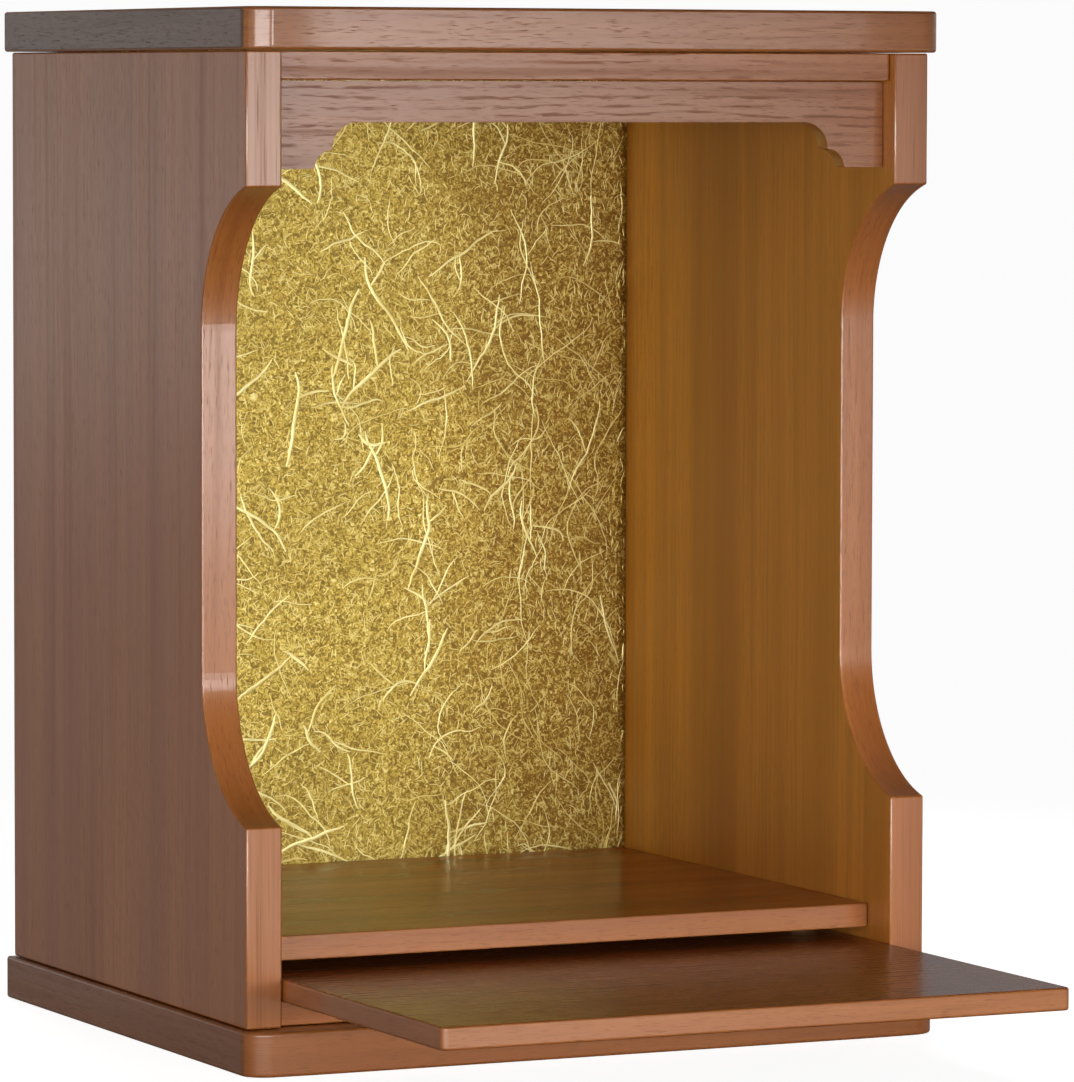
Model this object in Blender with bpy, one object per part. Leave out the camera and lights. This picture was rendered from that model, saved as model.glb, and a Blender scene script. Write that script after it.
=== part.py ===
# Household altar cabinet: an open-fronted wooden box with scalloped side panels, a shaped valance,
# a gold-faced back and a sliding tray between the base board and the altar floor.
# Metres, +Z up. The front is -Y. The origin is the middle of the base board's underside.

import math

import bmesh
import bpy

# Whole cabinet
CABINET_WIDTH = 0.306      # over the outer faces of the two side panels
CABINET_DEPTH = 0.255      # front edge to rear edge of a side panel
CABINET_HEIGHT = 0.424     # underside of the base board to the top of the top board

# Clearances
GLUE_GAP = 0.0003          # between two fixed pieces that touch
TRAY_SIDE_CLEARANCE = 0.0005
TRAY_TOP_CLEARANCE = 0.0004

# Base board and top board
BASE_THICKNESS = 0.018
TOP_THICKNESS = 0.017
SIDE_OVERHANG = 0.0027
FRONT_OVERHANG = 0.0105
REAR_OVERHANG = 0.0025
BOARD_CORNER_RADIUS = 0.0105
BOARD_EDGE_EASE = 0.0012

# Side panels, with the scallop cut into their front edge
PANEL_THICKNESS = 0.0155
LOWER_STILE_HEIGHT = 0.0805
UPPER_STILE_HEIGHT = 0.0540
SCALLOP_DEPTH = 0.0455
SCALLOP_END_HEIGHT = 0.0582
PANEL_EDGE_EASE = 0.0008

# Header rail and valance
HEADER_HEIGHT = 0.0115
HEADER_THICKNESS = 0.014
HEADER_SETBACK = 0.0042
VALANCE_HEIGHT = 0.0351    # header rail to the lowest point of the lobes
VALANCE_THICKNESS = 0.008
VALANCE_SETBACK = 0.0098
LOBE_WIDTH = 0.0181        # flat underside at each end
LOBE_RADIUS = 0.0075
LOBE_FILLET = 0.0013
ARCH_RADIUS = 0.0110
TRIM_EDGE_EASE = 0.0006

# Back
BACK_PANEL_THICKNESS = 0.0045
BACK_PANEL_INSET = 0.0005
GOLD_BOARD_THICKNESS = 0.0012

# Lower rail, runners, tray, kickers and floor board, from the base board upwards
RAIL_HEIGHT = 0.0099
RAIL_THICKNESS = 0.012
RAIL_SETBACK = 0.005
RUNNER_WIDTH = 0.014
TRAY_THICKNESS = 0.0092
TRAY_LENGTH = 0.245
TRAY_DRAWN_OUT = 0.151     # tray front ahead of the side panels
TRAY_CORNER_RADIUS = 0.0028
TRAY_EDGE_EASE = 0.0010
KICKER_THICKNESS = 0.0041
KICKER_WIDTH = 0.012
KICKER_SETBACK = 0.045     # behind the front edge of the floor board, out of sight in the gap
FLOOR_THICKNESS = 0.010
FLOOR_SETBACK = 0.0189

# Fineness of the round shapes
CORNER_SEGMENTS = 8
SCALLOP_SEGMENTS = 14
CURVE_SEGMENTS = 7
EASE_SEGMENTS = 2
SHARP_ANGLE = math.radians(35)

# Places that follow from the sizes above
BOARD_DEPTH = FRONT_OVERHANG + CABINET_DEPTH + REAR_OVERHANG
BOARD_WIDTH = CABINET_WIDTH + 2 * SIDE_OVERHANG
PANEL_FRONT = FRONT_OVERHANG - BOARD_DEPTH / 2
PANEL_REAR = PANEL_FRONT + CABINET_DEPTH
PANEL_BOTTOM = BASE_THICKNESS + GLUE_GAP
PANEL_TOP = CABINET_HEIGHT - TOP_THICKNESS - GLUE_GAP
INNER_WIDTH = CABINET_WIDTH - 2 * PANEL_THICKNESS
FITTED_WIDTH = INNER_WIDTH - 2 * GLUE_GAP
BACK_PANEL_FRONT = PANEL_REAR - BACK_PANEL_INSET - BACK_PANEL_THICKNESS
GOLD_BOARD_FRONT = BACK_PANEL_FRONT - GLUE_GAP - GOLD_BOARD_THICKNESS
HEADER_BOTTOM = PANEL_TOP - HEADER_HEIGHT
VALANCE_TOP = HEADER_BOTTOM - GLUE_GAP
RAIL_REAR = PANEL_FRONT + RAIL_SETBACK + RAIL_THICKNESS
TRAY_BOTTOM = PANEL_BOTTOM + RAIL_HEIGHT + GLUE_GAP
TRAY_TOP = TRAY_BOTTOM + TRAY_THICKNESS
KICKER_BOTTOM = TRAY_TOP + TRAY_TOP_CLEARANCE
FLOOR_BOTTOM = KICKER_BOTTOM + KICKER_THICKNESS + GLUE_GAP
FLOOR_FRONT = PANEL_FRONT + FLOOR_SETBACK


def clear_scene():
    for item in list(bpy.data.objects):
        bpy.data.objects.remove(item, do_unlink=True)


def wood(name, colour, roughness):
    material = bpy.data.materials.new(name)
    material.use_nodes = True
    shader = material.node_tree.nodes["Principled BSDF"]
    shader.inputs["Base Color"].default_value = (*colour, 1.0)
    shader.inputs["Roughness"].default_value = roughness
    shader.inputs["Metallic"].default_value = 0.0
    return material


def gold_paper():
    material = wood("gold_fibre_paper", (0.60, 0.42, 0.09), 0.40)
    material.node_tree.nodes["Principled BSDF"].inputs["Metallic"].default_value = 0.6
    return material


def arc(centre_a, centre_b, radius, start, end, segments):
    """Points along an arc, both ends included, angles in radians."""
    step = (end - start) / segments
    return [
        (centre_a + radius * math.cos(start + step * i), centre_b + radius * math.sin(start + step * i))
        for i in range(segments + 1)
    ]


def rectangle(width, height):
    """A rectangle centred on the first axis, standing on the second."""
    return [(-width / 2, 0.0), (width / 2, 0.0), (width / 2, height), (-width / 2, height)]


def board_outline(width, depth, radius):
    """A board seen from above, its front corners rounded, its front edge at zero depth."""
    side = width / 2 - radius
    left = arc(-side, radius, radius, math.pi, 1.5 * math.pi, CORNER_SEGMENTS)
    right = arc(side, radius, radius, 1.5 * math.pi, 2 * math.pi, CORNER_SEGMENTS)
    return left + right + [(width / 2, depth), (-width / 2, depth)]


def side_panel_outline():
    """A side panel seen from the side: front edge at zero depth, scalloped between the stiles."""
    height = PANEL_TOP - PANEL_BOTTOM
    radius = (SCALLOP_END_HEIGHT ** 2 + SCALLOP_DEPTH ** 2) / (2 * SCALLOP_DEPTH)
    centre = SCALLOP_DEPTH - radius
    sweep = math.atan2(SCALLOP_END_HEIGHT, radius - SCALLOP_DEPTH)
    lower = LOWER_STILE_HEIGHT + SCALLOP_END_HEIGHT
    upper = height - UPPER_STILE_HEIGHT - SCALLOP_END_HEIGHT
    points = [(0.0, 0.0), (CABINET_DEPTH, 0.0), (CABINET_DEPTH, height), (0.0, height)]
    points += arc(centre, upper, radius, sweep, 0.0, SCALLOP_SEGMENTS)
    points += arc(centre, lower, radius, 0.0, -sweep, SCALLOP_SEGMENTS)
    return points


def valance_outline():
    """The valance seen from the front: flat lobes at both ends, two steps up to the flat arch."""
    half = FITTED_WIDTH / 2
    fillet_centre = half - LOBE_WIDTH + LOBE_FILLET
    step = half - LOBE_WIDTH - LOBE_RADIUS
    right = arc(fillet_centre, LOBE_FILLET, LOBE_FILLET, 1.5 * math.pi, math.pi, CURVE_SEGMENTS)
    right += arc(step, 0.0, LOBE_RADIUS, math.asin(LOBE_FILLET / LOBE_RADIUS), math.pi / 2, CURVE_SEGMENTS)
    right += arc(step - ARCH_RADIUS, LOBE_RADIUS, ARCH_RADIUS, 0.0, math.pi / 2, CURVE_SEGMENTS)[1:]
    right = [(half, VALANCE_HEIGHT), (half, 0.0)] + right
    left = [(-across, up) for across, up in reversed(right)]
    return right + left


def ease_edges(item, width):
    bevel = item.modifiers.new("eased_edges", "BEVEL")
    bevel.width = width
    bevel.segments = EASE_SEGMENTS
    bevel.limit_method = "ANGLE"
    bevel.angle_limit = SHARP_ANGLE


def thicken(name, outline, plane, thickness):
    """The mesh of a flat board: an outline in the XY, XZ or YZ plane, given its thickness."""
    to_space = {
        "XY": lambda a, b: (a, b, 0.0),
        "XZ": lambda a, b: (a, 0.0, b),
        "YZ": lambda a, b: (0.0, a, b),
    }[plane]
    direction = {"XY": (0.0, 0.0, thickness), "XZ": (0.0, thickness, 0.0), "YZ": (thickness, 0.0, 0.0)}[plane]
    shape = bmesh.new()
    face = shape.faces.new([shape.verts.new(to_space(a, b)) for a, b in outline])
    swept = bmesh.ops.extrude_face_region(shape, geom=[face])
    moved = [piece for piece in swept["geom"] if isinstance(piece, bmesh.types.BMVert)]
    bmesh.ops.translate(shape, verts=moved, vec=direction)
    bmesh.ops.recalc_face_normals(shape, faces=shape.faces)
    mesh = bpy.data.meshes.new(name)
    shape.to_mesh(mesh)
    shape.free()
    return mesh


def put(name, mesh, material, place, ease):
    item = bpy.data.objects.new(name, mesh)
    bpy.context.scene.collection.objects.link(item)
    if not mesh.materials:
        mesh.materials.append(material)
    item.location = place
    ease_edges(item, ease)
    return item


def make_boards(timber):
    """The base board and the top board, with one outline."""
    outline = board_outline(BOARD_WIDTH, BOARD_DEPTH, BOARD_CORNER_RADIUS)
    base = thicken("base_board", outline, "XY", BASE_THICKNESS)
    put("base_board", base, timber, (0.0, -BOARD_DEPTH / 2, 0.0), BOARD_EDGE_EASE)
    top = thicken("top_board", outline, "XY", TOP_THICKNESS)
    put("top_board", top, timber, (0.0, -BOARD_DEPTH / 2, CABINET_HEIGHT - TOP_THICKNESS), BOARD_EDGE_EASE)


def make_side_panels(timber):
    mesh = thicken("side_panel", side_panel_outline(), "YZ", PANEL_THICKNESS)
    left_face = -CABINET_WIDTH / 2
    put("left_side_panel", mesh, timber, (left_face, PANEL_FRONT, PANEL_BOTTOM), PANEL_EDGE_EASE)
    right_face = CABINET_WIDTH / 2 - PANEL_THICKNESS
    put("right_side_panel", mesh, timber, (right_face, PANEL_FRONT, PANEL_BOTTOM), PANEL_EDGE_EASE)


def make_head(timber):
    """The header rail under the top board, and the valance under the rail."""
    rail = thicken("header_rail", rectangle(FITTED_WIDTH, HEADER_HEIGHT), "XZ", HEADER_THICKNESS)
    put("header_rail", rail, timber, (0.0, PANEL_FRONT + HEADER_SETBACK, HEADER_BOTTOM), TRIM_EDGE_EASE)
    board = thicken("valance", valance_outline(), "XZ", VALANCE_THICKNESS)
    place = (0.0, PANEL_FRONT + VALANCE_SETBACK, VALANCE_TOP - VALANCE_HEIGHT)
    put("valance", board, timber, place, TRIM_EDGE_EASE)


def make_back(timber, paper):
    outline = rectangle(FITTED_WIDTH, PANEL_TOP - PANEL_BOTTOM)
    panel = thicken("back_panel", outline, "XZ", BACK_PANEL_THICKNESS)
    put("back_panel", panel, timber, (0.0, BACK_PANEL_FRONT, PANEL_BOTTOM), BACK_PANEL_THICKNESS / 10)
    gold = thicken("gold_back_board", outline, "XZ", GOLD_BOARD_THICKNESS)
    put("gold_back_board", gold, paper, (0.0, GOLD_BOARD_FRONT, PANEL_BOTTOM), GOLD_BOARD_THICKNESS / 10)


def make_floor(timber):
    depth = GOLD_BOARD_FRONT - GLUE_GAP - FLOOR_FRONT
    mesh = thicken("floor_board", rectangle(FITTED_WIDTH, depth), "XY", FLOOR_THICKNESS)
    put("floor_board", mesh, timber, (0.0, FLOOR_FRONT, FLOOR_BOTTOM), PANEL_EDGE_EASE)


def make_tray_supports(timber):
    """The rail and runners that carry the tray, and the kickers that keep it level when it is out."""
    rail = thicken("lower_rail", rectangle(FITTED_WIDTH, RAIL_HEIGHT), "XZ", RAIL_THICKNESS)
    put("lower_rail", rail, timber, (0.0, PANEL_FRONT + RAIL_SETBACK, PANEL_BOTTOM), TRIM_EDGE_EASE)

    runner_front = RAIL_REAR + GLUE_GAP
    runner_length = GOLD_BOARD_FRONT - GLUE_GAP - runner_front
    runner = thicken("tray_runner", rectangle(RUNNER_WIDTH, runner_length), "XY", RAIL_HEIGHT)
    kicker_front = FLOOR_FRONT + KICKER_SETBACK
    kicker_length = GOLD_BOARD_FRONT - GLUE_GAP - kicker_front
    kicker = thicken("tray_kicker", rectangle(KICKER_WIDTH, kicker_length), "XY", KICKER_THICKNESS)
    for side, sign in (("left", -1), ("right", 1)):
        runner_middle = sign * (FITTED_WIDTH - RUNNER_WIDTH) / 2
        put(side + "_tray_runner", runner, timber, (runner_middle, runner_front, PANEL_BOTTOM), TRIM_EDGE_EASE)
        kicker_middle = sign * (FITTED_WIDTH - KICKER_WIDTH) / 2
        put(side + "_tray_kicker", kicker, timber, (kicker_middle, kicker_front, KICKER_BOTTOM), TRIM_EDGE_EASE)


def make_tray(timber):
    """The tray's origin is the middle of its front edge, on the line that it slides along."""
    width = INNER_WIDTH - 2 * TRAY_SIDE_CLEARANCE
    mesh = thicken("tray", board_outline(width, TRAY_LENGTH, TRAY_CORNER_RADIUS), "XY", TRAY_THICKNESS)
    put("tray", mesh, timber, (0.0, PANEL_FRONT - TRAY_DRAWN_OUT, TRAY_BOTTOM), TRAY_EDGE_EASE)


def main():
    clear_scene()
    carcase_wood = wood("carcase_wood", (0.30, 0.16, 0.10), 0.42)
    inner_wood = wood("inner_wood", (0.26, 0.12, 0.04), 0.35)
    tray_wood = wood("tray_wood", (0.24, 0.11, 0.06), 0.22)
    hidden_wood = wood("hidden_wood", (0.42, 0.27, 0.14), 0.60)
    make_boards(carcase_wood)
    make_side_panels(carcase_wood)
    make_head(carcase_wood)
    make_back(hidden_wood, gold_paper())
    make_floor(inner_wood)
    make_tray_supports(inner_wood)
    make_tray(tray_wood)


main()
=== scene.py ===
# Household altar cabinet: boards with eased edges, fine straight grain under satin lacquer, gold fibre
# paper on the back, and a plain studio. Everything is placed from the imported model's own boxes, in metres.

import math
import random

import bmesh
import bpy
from bpy.props import FloatProperty, FloatVectorProperty, IntProperty, PointerProperty
from bpy.types import Operator, Panel, PropertyGroup
from mathutils import Matrix, Vector, noise


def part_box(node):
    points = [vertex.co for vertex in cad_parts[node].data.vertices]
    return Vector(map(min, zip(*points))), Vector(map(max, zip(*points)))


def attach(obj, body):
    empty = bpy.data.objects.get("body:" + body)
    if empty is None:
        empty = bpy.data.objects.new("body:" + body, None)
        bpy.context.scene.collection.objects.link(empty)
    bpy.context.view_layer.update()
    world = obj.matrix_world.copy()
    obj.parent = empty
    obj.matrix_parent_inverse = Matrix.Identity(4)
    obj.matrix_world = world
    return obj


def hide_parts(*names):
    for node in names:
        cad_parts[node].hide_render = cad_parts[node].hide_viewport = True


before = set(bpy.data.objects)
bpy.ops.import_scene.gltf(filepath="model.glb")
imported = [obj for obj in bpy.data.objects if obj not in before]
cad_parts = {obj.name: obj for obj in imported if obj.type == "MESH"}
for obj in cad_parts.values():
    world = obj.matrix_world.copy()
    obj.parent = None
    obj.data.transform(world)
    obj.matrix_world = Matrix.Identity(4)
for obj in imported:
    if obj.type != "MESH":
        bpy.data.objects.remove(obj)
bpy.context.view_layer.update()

bl_info = {
    "name": "Household altar cabinet",
    "version": (1, 0, 0),
    "blender": (4, 5, 0),
    "location": "3D View > Sidebar > Altar Cabinet",
    "description": "Models the boards, tray and gold paper of a household altar cabinet, and its studio",
    "category": "Object",
}

CABINET = "cabinet"
TRAY = "tray"
X_AXIS = Vector((1, 0, 0))
Z_AXIS = Vector((0, 0, 1))
FLAT_NORMAL = 0.997               # a face this square to an axis is shaded flat
MAINLY = 0.7                      # a face this square to an axis faces along it
SHARP = math.radians(35)          # edges sharper than this are eased
TOUCH = 1e-5                      # points this close to a plane lie on it
WELD = 2e-6                       # points this close become one
CUT_MARGIN = 0.0004               # from an eased edge to the cut beside it
RELIEF_CUTS = 12                  # cuts that let a board's front fall back
PAINTED_BOUNCE_TINT = (1.46, 1.63, 1.12)   # painted bounce light: the panels' inner faces are paler and more golden
PAINTED_GOLD_BOUNCE = (1.52, 1.98, 1.70)    # and the painted bounce is strongest beside the gold paper

# How far apart two pieces lie in the same figure, and how fast it changes into the wood
STEP_ALONG = 0.37
STEP_ACROSS = 0.11
STEP_INTO = 1.7
INTO_SCALE = 20.0

# Streaks in the veneer: how many to a metre along and across the grain, and their detail
WANDER = (5.0, 14.0, 1.0)         # where the grain strays sideways
BANDS = (1.5, 45.0, 2.0)          # broad paler and darker bands
LINES = (2.5, 160.0, 3.0)         # growth lines
SWAY = (14.0, 60.0, 1.0)          # how the fine rows sway
BREAKS = (75.0, 520.0, 2.0)       # where the fine rows break into dashes
LIVELY = (9.0, 34.0, 1.0)         # where the dashes are strongest
HAIRS = (18.0, 1500.0, 2.0)       # hair lines
PORES = (150.0, 2300.0, 1.0)      # short open pores
STRAY = 0.006                     # metres that the grain strays
ROW_TURN = 1650.0                 # radians to a metre of the fine rows
ROW_SWAY = 11.0                   # radians that they sway

# A raised fibre's back, as shares of its width and rise, and the two golds that a fibre can have
BACK_WIDTH = 0.55
BACK_RISE = 0.8
BRIGHT = 0
DULL = 1

# Panels that only the sheen shows: headings in degrees from straight in front, right positive
SHEEN_PANELS = (
    ("key_panel", -55.0, -3.0, "key_power"),
    ("band_panel", 6.2, 10.0, "band_power"),
    ("strip_panel", 17.2, 22.4, "strip_power"),
    ("edge_panel", 22.4, 25.8, "edge_power"),
    ("fade_panel", 25.8, 29.0, "fade_power"),
)


# Sizes and colours that a user would change

def length(name, description, default):
    return FloatProperty(name=name, description=description, default=default, min=0.0, unit="LENGTH")


def colour(name, description, default):
    return FloatVectorProperty(
        name=name, description=description, default=default, size=3, min=0.0, max=1.0, subtype="COLOR")


def share(name, description, default):
    return FloatProperty(
        name=name, description=description, default=default, min=0.0, max=1.0, subtype="FACTOR")


def angle(name, description, degrees):
    return FloatProperty(name=name, description=description, default=math.radians(degrees), subtype="ANGLE")


def power(name, description, default):
    return FloatProperty(name=name, description=description, default=default, unit="POWER")


class CabinetShape(PropertyGroup):
    board_corner: length("Board corner", "Radius of the base and top boards' front corners", 0.0105)
    corner_relief: length("Corner relief", "From the board's side to where its front falls back", 0.0400)
    corner_fall: length("Corner fall", "How far it has fallen back where the corner begins", 0.00085)
    board_ease: length("Board ease", "Rounding of the base and top boards' long edges", 0.0012)
    panel_ease: length("Panel ease", "Rounding of the side panels' edges", 0.0008)
    trim_ease: length("Trim ease", "Rounding of the rails' and the valance's edges", 0.0006)
    tray_corner: length("Tray corner", "Radius of the tray's front corners", 0.0028)
    tray_ease: length("Tray ease", "Rounding of the tray's edges", 0.0010)
    lower_stile: length("Lower stile", "Height of the straight front edge under the scallop", 0.0805)
    upper_stile: length("Upper stile", "Height of the straight front edge over the scallop", 0.0540)
    scallop_depth: length("Scallop depth", "How far the scallop is cut back", 0.0455)
    scallop_end: length("Scallop end", "Height of each curved end of the scallop", 0.0582)
    lobe_width: length("Lobe width", "Flat underside at each end of the valance", 0.0181)
    lobe_radius: length("Lobe radius", "Lower curve of the valance's bracket", 0.0075)
    lobe_fillet: length("Lobe fillet", "Small round where the lobe turns up", 0.0013)
    arch_radius: length("Arch radius", "Upper curve of the valance's bracket", 0.0110)


class CabinetFinish(PropertyGroup):
    wood_light: colour("Light wood", "Early wood between the grain lines", (0.430, 0.146, 0.034))
    wood_middle: colour("Middle wood", "Ground colour of the stained veneer", (0.345, 0.108, 0.024))
    wood_dark: colour("Dark wood", "Grain lines", (0.275, 0.083, 0.0175))
    pore: colour("Pore", "Short dark pores along the grain", (0.150, 0.046, 0.012))
    tray_top: colour("Tray top", "Ground colour of the tray's darker upper face", (0.320, 0.090, 0.016))
    plain_wood: colour("Plain wood", "Unlacquered wood of the hidden pieces", (0.45, 0.27, 0.13))
    satin: share("Satin roughness", "Roughness of the lacquered wood under its clear coat", 0.36)
    coat: share("Coat roughness", "Roughness of the clear coat", 0.13)
    gloss: share("Gloss roughness", "Roughness of the floor's lacquer", 0.24)
    tray_gloss: share("Tray roughness", "Roughness of the lacquer on the tray's upper face", 0.27)
    gold: colour("Gold", "Ground of the gold paper", (0.62, 0.445, 0.074))
    gold_shade: colour("Gold shade", "Dark flecks in the gold paper", (0.22, 0.142, 0.018))
    # Painted reflection: the brown right wall seen in the gold, laid on the flecks towards the paper's right
    # side
    gold_reflected_wall: colour("Gold brown", "Flecks towards the gold paper's right side", (0.26, 0.12, 0.016))
    fibre: colour("Fibre", "Raised fibres in the gold paper", (1.0, 0.93, 0.42))


class FibrePaper(PropertyGroup):
    bold: IntProperty(name="Bold fibres", description="Long thick fibres", default=130, min=0)
    faint: IntProperty(name="Faint fibres", description="Long thin fibres", default=250, min=0)
    fine: IntProperty(name="Fine fibres", description="Short hair-like fibres", default=6500, min=0)
    bold_width: length("Bold width", "Width of a bold fibre at its middle", 0.00150)
    faint_width: length("Faint width", "Width of a faint fibre at its middle", 0.00075)
    fine_width: length("Fine width", "Width of a fine fibre at its middle", 0.00046)
    rise: length("Rise", "How far a bold fibre stands out of the paper", 0.00014)


class Studio(PropertyGroup):
    lens: FloatProperty(
        name="Lens", description="Focal length on a 36 mm frame", default=223.88, unit="CAMERA")
    heading: angle("Heading", "Turn of the camera about the vertical", -25.564)
    tilt: angle("Tilt", "How far the camera looks down", 3.849)
    roll: angle("Roll", "Turn about the line of sight", 0.135)
    place: FloatVectorProperty(
        name="Place", description="Where the camera stands", default=(-1.1947, -2.5677, 0.3920), size=3,
        subtype="XYZ", unit="LENGTH")
    light_distance: length("Light distance", "From the cabinet to the light panels", 2.8)
    light_foot: length("Light foot", "Height of the light panels' lower edges", 0.04)
    light_top: length("Light top", "Height of the light panels' upper edges", 0.50)
    key_power: power("Key sheen", "Wide panel that the lacquer and the gold reflect", 52.0)
    band_power: power("Band sheen", "Panel right of the key panel", 7.2)
    strip_power: power("Strip sheen", "Narrow panel that the fronts reflect", 3.3)
    edge_power: power("Edge sheen", "Weaker panel right of the strip", 1.55)
    fade_power: power("Fading sheen", "Weakest panel, right of the others", 0.9)
    fill_distance: length("Fill distance", "From the cabinet to the low light in front", 1.5)
    fill_power: power("Front light", "Low light that falls off towards the top", 2.5)
    wall_power: power("Wall light", "Light from the front left that reaches the back", 6.0)
    side_power: power("Side light", "Light on the left side", 17.0)
    rear_power: power("Rear light", "High light behind, for the top and the back", 36.0)


# Small helpers for shader trees

def add(tree, kind, **values):
    """A shader node with its settings, and its sockets filled by name or joined to other sockets."""
    made = tree.nodes.new(kind)
    sockets = values.pop("sockets", {})
    for name, value in values.items():
        setattr(made, name, value)
    for name, value in sockets.items():
        join_or_set(tree, made.inputs[name], value)
    return made


def join_or_set(tree, socket, value):
    if isinstance(value, bpy.types.NodeSocket):
        tree.links.new(value, socket)
    elif isinstance(value, (tuple, list)) and len(value) == 3 and socket.type == "RGBA":
        socket.default_value = (*value, 1.0)
    else:
        socket.default_value = value


def maths(tree, operation, first, second=0.0):
    made = add(tree, "ShaderNodeMath", operation=operation)
    join_or_set(tree, made.inputs[0], first)
    join_or_set(tree, made.inputs[1], second)
    return made.outputs[0]


def blend_colours(tree, factor, first, second, kind="MIX"):
    made = add(tree, "ShaderNodeMix", data_type="RGBA", blend_type=kind)
    join_or_set(tree, made.inputs[0], factor)
    join_or_set(tree, made.inputs[6], first)
    join_or_set(tree, made.inputs[7], second)
    return made.outputs[2]


def between(tree, value, low, high, to_low=0.0, to_high=1.0):
    """A value stretched from one range to another, and held inside it."""
    made = add(tree, "ShaderNodeMapRange", interpolation_type="SMOOTHSTEP")
    for index, number in enumerate((value, low, high, to_low, to_high)):
        join_or_set(tree, made.inputs[index], number)
    return made.outputs[0]


def streaks(tree, along, across, depth, per_metre_along, per_metre_across, detail):
    """Noise drawn out along the grain: so many streaks to a metre in each direction."""
    place = add(tree, "ShaderNodeCombineXYZ", sockets={
        "X": maths(tree, "MULTIPLY", along, per_metre_along),
        "Y": maths(tree, "MULTIPLY", across, per_metre_across),
        "Z": depth})
    made = add(tree, "ShaderNodeTexNoise", sockets={
        "Vector": place.outputs[0], "Scale": 1.0, "Detail": detail, "Roughness": 0.6})
    return made.outputs["Fac"]


def new_group(name, inputs, outputs):
    """A shader group with named sockets, and its two end nodes."""
    group = bpy.data.node_groups.new(name, "ShaderNodeTree")
    for label, kind in inputs:
        group.interface.new_socket(name=label, in_out="INPUT", socket_type=kind)
    for label, kind in outputs:
        group.interface.new_socket(name=label, in_out="OUTPUT", socket_type=kind)
    return group, group.nodes.new("NodeGroupInput"), group.nodes.new("NodeGroupOutput")


def veneer_figure():
    """Straight fine grain: broad bands, growth lines, hair lines and short open pores."""
    group = bpy.data.node_groups.get("Veneer figure")
    if group:
        return group
    group, given, made = new_group(
        "Veneer figure",
        [("Grain", "NodeSocketVector"), ("Light", "NodeSocketColor"), ("Middle", "NodeSocketColor"),
         ("Dark", "NodeSocketColor"), ("Pore", "NodeSocketColor"), ("Figure", "NodeSocketFloat"),
         ("Lacquer", "NodeSocketFloat"), ("Coat", "NodeSocketFloat")],
        [("Colour", "NodeSocketColor"), ("Roughness", "NodeSocketFloat"), ("Coat", "NodeSocketFloat"),
         ("Height", "NodeSocketFloat")])
    parts = add(group, "ShaderNodeSeparateXYZ", sockets={"Vector": given.outputs["Grain"]})
    along, straight, depth = parts.outputs
    wander = maths(group, "SUBTRACT", streaks(group, along, straight, depth, *WANDER), 0.5)
    across = maths(group, "ADD", straight, maths(group, "MULTIPLY", wander, STRAY))
    bands = streaks(group, along, across, depth, *BANDS)
    lines = streaks(group, along, across, depth, *LINES)
    sway = maths(group, "MULTIPLY", streaks(group, along, across, depth, *SWAY), ROW_SWAY)
    rows = maths(group, "SINE", maths(group, "ADD", maths(group, "MULTIPLY", across, ROW_TURN), sway))
    broken = streaks(group, along, across, depth, *BREAKS)
    lively = streaks(group, along, across, depth, *LIVELY)
    hairs = streaks(group, along, across, depth, *HAIRS)
    pores = streaks(group, along, straight, depth, *PORES)
    strength = maths(group, "POWER", given.outputs["Figure"], 2.0)
    line_mask = maths(group, "MULTIPLY", between(group, lines, 0.48, 0.70, 0.0, 0.7), given.outputs["Figure"])
    dash_mask = maths(group, "MULTIPLY", between(group, rows, 0.0, 0.9), between(group, broken, 0.44, 0.58))
    dash_mask = maths(group, "MULTIPLY", dash_mask, between(group, lively, 0.36, 0.60, 0.30, 1.0))
    dash_mask = maths(group, "MULTIPLY", dash_mask, strength)
    hair_mask = maths(group, "MULTIPLY", between(group, hairs, 0.48, 0.72), 0.35)
    pore_mask = between(group, pores, 0.60, 0.70)
    tone = blend_colours(
        group, between(group, bands, 0.32, 0.68), given.outputs["Middle"], given.outputs["Light"])
    for mask in (line_mask, dash_mask, hair_mask):
        tone = blend_colours(group, mask, tone, given.outputs["Dark"])
    tone = blend_colours(group, maths(group, "MULTIPLY", pore_mask, 0.55), tone, given.outputs["Pore"])
    drawn = maths(group, "MAXIMUM", maths(group, "MAXIMUM", line_mask, dash_mask), pore_mask)
    bare = maths(group, "SUBTRACT", 1.0, maths(group, "MULTIPLY", drawn, 0.95))
    coat = maths(group, "MULTIPLY", given.outputs["Coat"], bare)
    rough = maths(group, "ADD", given.outputs["Lacquer"], maths(group, "MULTIPLY", hairs, 0.10))
    height = maths(group, "MULTIPLY", pore_mask, -1.0)
    for label, value in (("Colour", tone), ("Roughness", rough), ("Coat", coat), ("Height", height)):
        group.links.new(value, made.inputs[label])
    return group


def drawn_grain(tree):
    """The grain stored on the piece's own corners."""
    return add(tree, "ShaderNodeAttribute", attribute_name="grain").outputs["Vector"]


def upright_grain(tree):
    """Grain that runs up the piece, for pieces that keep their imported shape."""
    place = add(tree, "ShaderNodeTexCoord").outputs["Object"]
    parts = add(tree, "ShaderNodeSeparateXYZ", sockets={"Vector": place})
    turned = add(tree, "ShaderNodeCombineXYZ", sockets={
        "X": parts.outputs["Z"], "Y": parts.outputs["X"], "Z": parts.outputs["Y"]})
    return turned.outputs[0]


def paint_gold_bounce_towards_back(tree, tone):
    """Painted bounce light: makes the wood more golden towards the back, where it faces the gold paper."""
    place = add(tree, "ShaderNodeTexCoord").outputs["Object"]
    depth = add(tree, "ShaderNodeSeparateXYZ", sockets={"Vector": place}).outputs["Y"]
    glow = blend_colours(tree, between(tree, depth, 0.02, 0.125), (0.97, 0.97, 0.97), PAINTED_GOLD_BOUNCE)
    return blend_colours(tree, 1.0, tone, glow, "MULTIPLY")


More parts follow.
